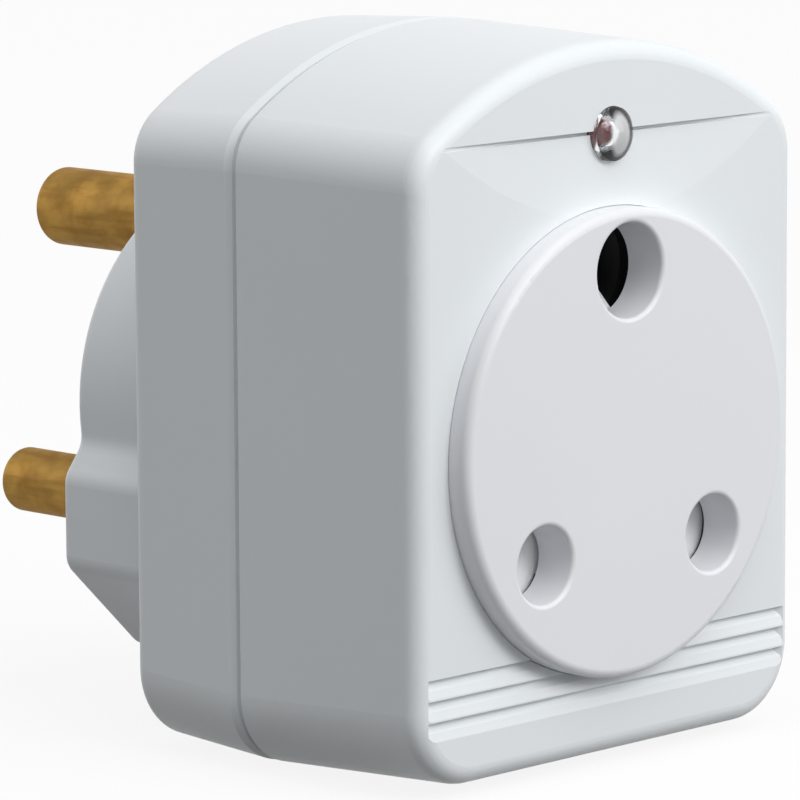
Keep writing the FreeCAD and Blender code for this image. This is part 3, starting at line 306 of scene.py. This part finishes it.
def looks():
    """One material for each material slot of the record."""
    brown = (0.16, 0.05, 0.02)
    gold = (0.62, 0.40, 0.10)
    silver = (0.62, 0.62, 0.60)
    return {
        "case_white": moulded("case_white", CASE_WHITE),
        "socket_white": moulded("socket_white", DISC_WHITE, (0.32, 0.44)),
        "shutter_white": moulded("shutter_white", SHUTTER_WHITE, (0.30, 0.42)),
        "carrier_grey": moulded("carrier_grey", (0.020, 0.020, 0.022), (0.5, 0.65)),
        "plate_grey": moulded("plate_grey", (0.075, 0.075, 0.080), (0.5, 0.65)),
        "pin_brass": pin_brass(),
        "contact_brass": sheet_metal("contact_brass", (0.58, 0.37, 0.12)),
        "screw_steel": sheet_metal("screw_steel", (0.50, 0.51, 0.53), (0.25, 0.4), (60, 4, 60)),
        "spring_steel": sheet_metal("spring_steel", (0.45, 0.46, 0.48), (0.18, 0.3), (4, 4, 60)),
        "board_green": board_green(),
        "solder": sheet_metal("solder", (0.60, 0.61, 0.62), (0.15, 0.35), (4, 4, 4)),
        "varistor_blue": coated("varistor_blue", (0.015, 0.045, 0.260)),
        "fuse_white": banded_body("fuse_white", "thermal_fuse", (0.70, 0.68, 0.62),
                                  [(0.03, 0.10, silver), (0.97, 0.10, silver)]),
        "gas_tube_metal": sheet_metal("gas_tube_metal", (0.62, 0.62, 0.63), (0.1, 0.25),
                                      (40, 4, 4)),
        "resistor_tan": banded_body("resistor_tan", "series_resistor", (0.50, 0.32, 0.16),
                                    [(0.26, 0.06, brown), (0.40, 0.06, (0.02, 0.02, 0.02)),
                                     (0.54, 0.06, (0.60, 0.16, 0.02)), (0.72, 0.06, gold)]),
        "diode_black": banded_body("diode_black", "rectifier_diode", (0.012, 0.012, 0.013),
                                   [(0.32, 0.08, silver)], 0.28),
        "capacitor_yellow": coated("capacitor_yellow", (0.62, 0.38, 0.03)),
        "led_red": led_red(),
        "lens_clear": lens_clear(),
        "wire_red": wire_red(),
    }


def dress_nodes():
    materials = looks()
    for part in frame["record"]["subparts"]:
        node = NODES[part["node"]]
        for holder in node.material_slots:
            holder.material = materials[part["material_slot"]]


def shorten_spring():
    """The spring stands on its lower end. Here it only gets its own copy of its mesh; it is not
    shortened.
    """
    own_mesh(NODES["shutter_spring"])


def seen_directly(tree):
    """1 where the camera, a mirror or a glass looks at the background, otherwise 0."""
    path = tree.nodes.new("ShaderNodeLightPath")
    total = path.outputs["Is Camera Ray"]
    for name in ("Is Glossy Ray", "Is Transmission Ray"):
        higher = tree.nodes.new("ShaderNodeMath")
        higher.operation = "MAXIMUM"
        tree.links.new(total, higher.inputs[0])
        tree.links.new(path.outputs[name], higher.inputs[1])
        total = higher.outputs["Value"]
    return total


def build_floor():
    """Pale floor just under the case."""
    bpy.ops.mesh.primitive_plane_add(size=FLOOR_SIZE,
                                     location=(0, 0, CAD_BOX[0][2] - FLOOR_GAP))
    floor = bpy.context.object
    floor.name = "floor"
    material = bpy.data.materials.new("floor_pale")
    material.use_nodes = True
    tree = material.node_tree
    shader = tree.nodes["Principled BSDF"]
    shader.inputs["Roughness"].default_value = 0.9
    seen = seen_directly(tree)
    paint = tree.nodes.new("ShaderNodeMix")
    paint.data_type = "RGBA"
    paint.inputs[6].default_value = (FLOOR_GREY, FLOOR_GREY, FLOOR_GREY, 1)
    paint.inputs[7].default_value = (FLOOR_PALE, FLOOR_PALE, FLOOR_PALE, 1)
    tree.links.new(seen, paint.inputs["Factor"])
    tree.links.new(paint.outputs[2], shader.inputs["Base Color"])
    glow = tree.nodes.new("ShaderNodeEmission")
    share = tree.nodes.new("ShaderNodeMath")
    share.operation = "MULTIPLY"
    share.inputs[1].default_value = FLOOR_WHITE
    tree.links.new(seen, share.inputs[0])
    mix = tree.nodes.new("ShaderNodeMixShader")
    tree.links.new(share.outputs["Value"], mix.inputs["Fac"])
    tree.links.new(shader.outputs["BSDF"], mix.inputs[1])
    tree.links.new(glow.outputs["Emission"], mix.inputs[2])
    tree.links.new(mix.outputs["Shader"], tree.nodes["Material Output"].inputs["Surface"])
    floor.data.materials.append(material)


def build_world():
    world = bpy.data.worlds.new("studio")
    bpy.context.scene.world = world
    world.use_nodes = True
    tree = world.node_tree
    background = tree.nodes["Background"]
    background.inputs["Color"].default_value = (1, 1, 1, 1)
    level = tree.nodes.new("ShaderNodeMapRange")
    level.inputs["To Min"].default_value = AMBIENT
    level.inputs["To Max"].default_value = 1.0
    tree.links.new(seen_directly(tree), level.inputs["Value"])
    tree.links.new(level.outputs["Result"], background.inputs["Strength"])


def add_lamp(name, data, offset):
    """Hang a lamp at an offset from the middle of the case, turned towards it."""
    lamp = bpy.data.objects.new(name, data)
    lamp.rotation_euler = Vector(offset).to_track_quat("Z", "Y").to_euler()
    lamp.location = Vector(CAM_TARGET) + Vector(offset)
    bpy.context.collection.objects.link(lamp)


def add_sun(name, offset, level, angle):
    """Distant lamp. At level 1 a white surface that faces it shows white."""
    data = bpy.data.lights.new(name, "SUN")
    data.energy = level * math.pi
    data.angle = math.radians(angle)
    add_lamp(name, data, offset)


def add_softbox(name, offset, level, size):
    """Square lamp nearby. At level 1 a white surface that faces it shows white."""
    data = bpy.data.lights.new(name, "AREA")
    data.size = size
    data.energy = level * math.pi ** 2 * Vector(offset).length_squared
    add_lamp(name, data, offset)


def build_camera():
    azimuth = math.radians(CAM_AZIMUTH)
    elevation = math.radians(CAM_ELEVATION)
    back = Vector((math.sin(azimuth) * math.cos(elevation),
                   -math.cos(azimuth) * math.cos(elevation),
                   math.sin(elevation)))
    right = Vector((math.cos(azimuth), math.sin(azimuth), 0))
    level = Matrix((right, back.cross(right), back)).transposed()
    turned = level @ Matrix.Rotation(math.radians(CAM_ROLL), 3, "Z")
    data = bpy.data.cameras.new("camera")
    data.lens = CAM_LENS
    data.sensor_width = CAM_SENSOR
    data.clip_start = 0.01
    camera = bpy.data.objects.new("camera", data)
    bpy.context.collection.objects.link(camera)
    place = Vector(CAM_TARGET) + back * CAM_DISTANCE
    camera.matrix_world = Matrix.Translation(place) @ turned.to_4x4()
    bpy.context.scene.camera = camera


dress_nodes()
shorten_spring()
build_floor()
build_world()
add_softbox("key", (0.10, -0.80, 0.50), KEY_LEVEL, 0.40)
add_softbox("side", (0.33, -0.42, 0.14), SIDE_LEVEL, 0.25)
add_sun("top", (-0.10, -0.45, 1.00), TOP_LEVEL, 60)
add_sun("rear", (-0.30, 1.00, 0.30), REAR_LEVEL, 40)
build_camera()
bpy.context.scene.view_settings.view_transform = "Standard"
